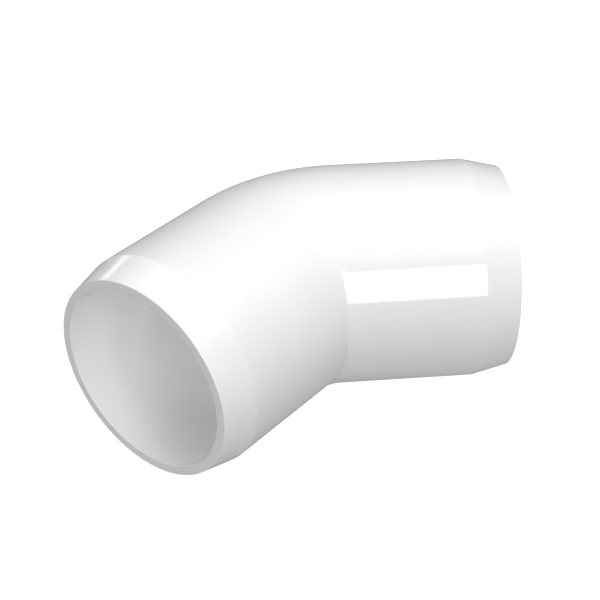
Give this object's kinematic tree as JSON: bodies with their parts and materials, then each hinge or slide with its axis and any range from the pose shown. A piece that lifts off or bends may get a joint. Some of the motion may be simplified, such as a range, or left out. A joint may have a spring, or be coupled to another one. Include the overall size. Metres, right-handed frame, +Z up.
{
  "type": "conduit elbow",
  "caption": "Forty-five degree slip elbow in gloss white plastic: joins rigid tubes at an angle, with smooth sockets, inner stops and tapered hub ends.",
  "frame": {"origin": "middle of the footprint, on the surface that the elbow lies on, half its length and half its width in, with the bend plane level above it at the hub radius", "axes": "+Z up, square to the bend plane; +X along the longest extent, from one hub to the other; +Y towards the outer, convex side of the bend"},
  "size_m": [0.0858, 0.0502, 0.04],
  "materials": {
    "white_pvc": "smooth glossy moulded white PVC"
  },
  "bodies": {
    "root": {"elbow_body": "white_pvc"}
  },
  "joints": []
}
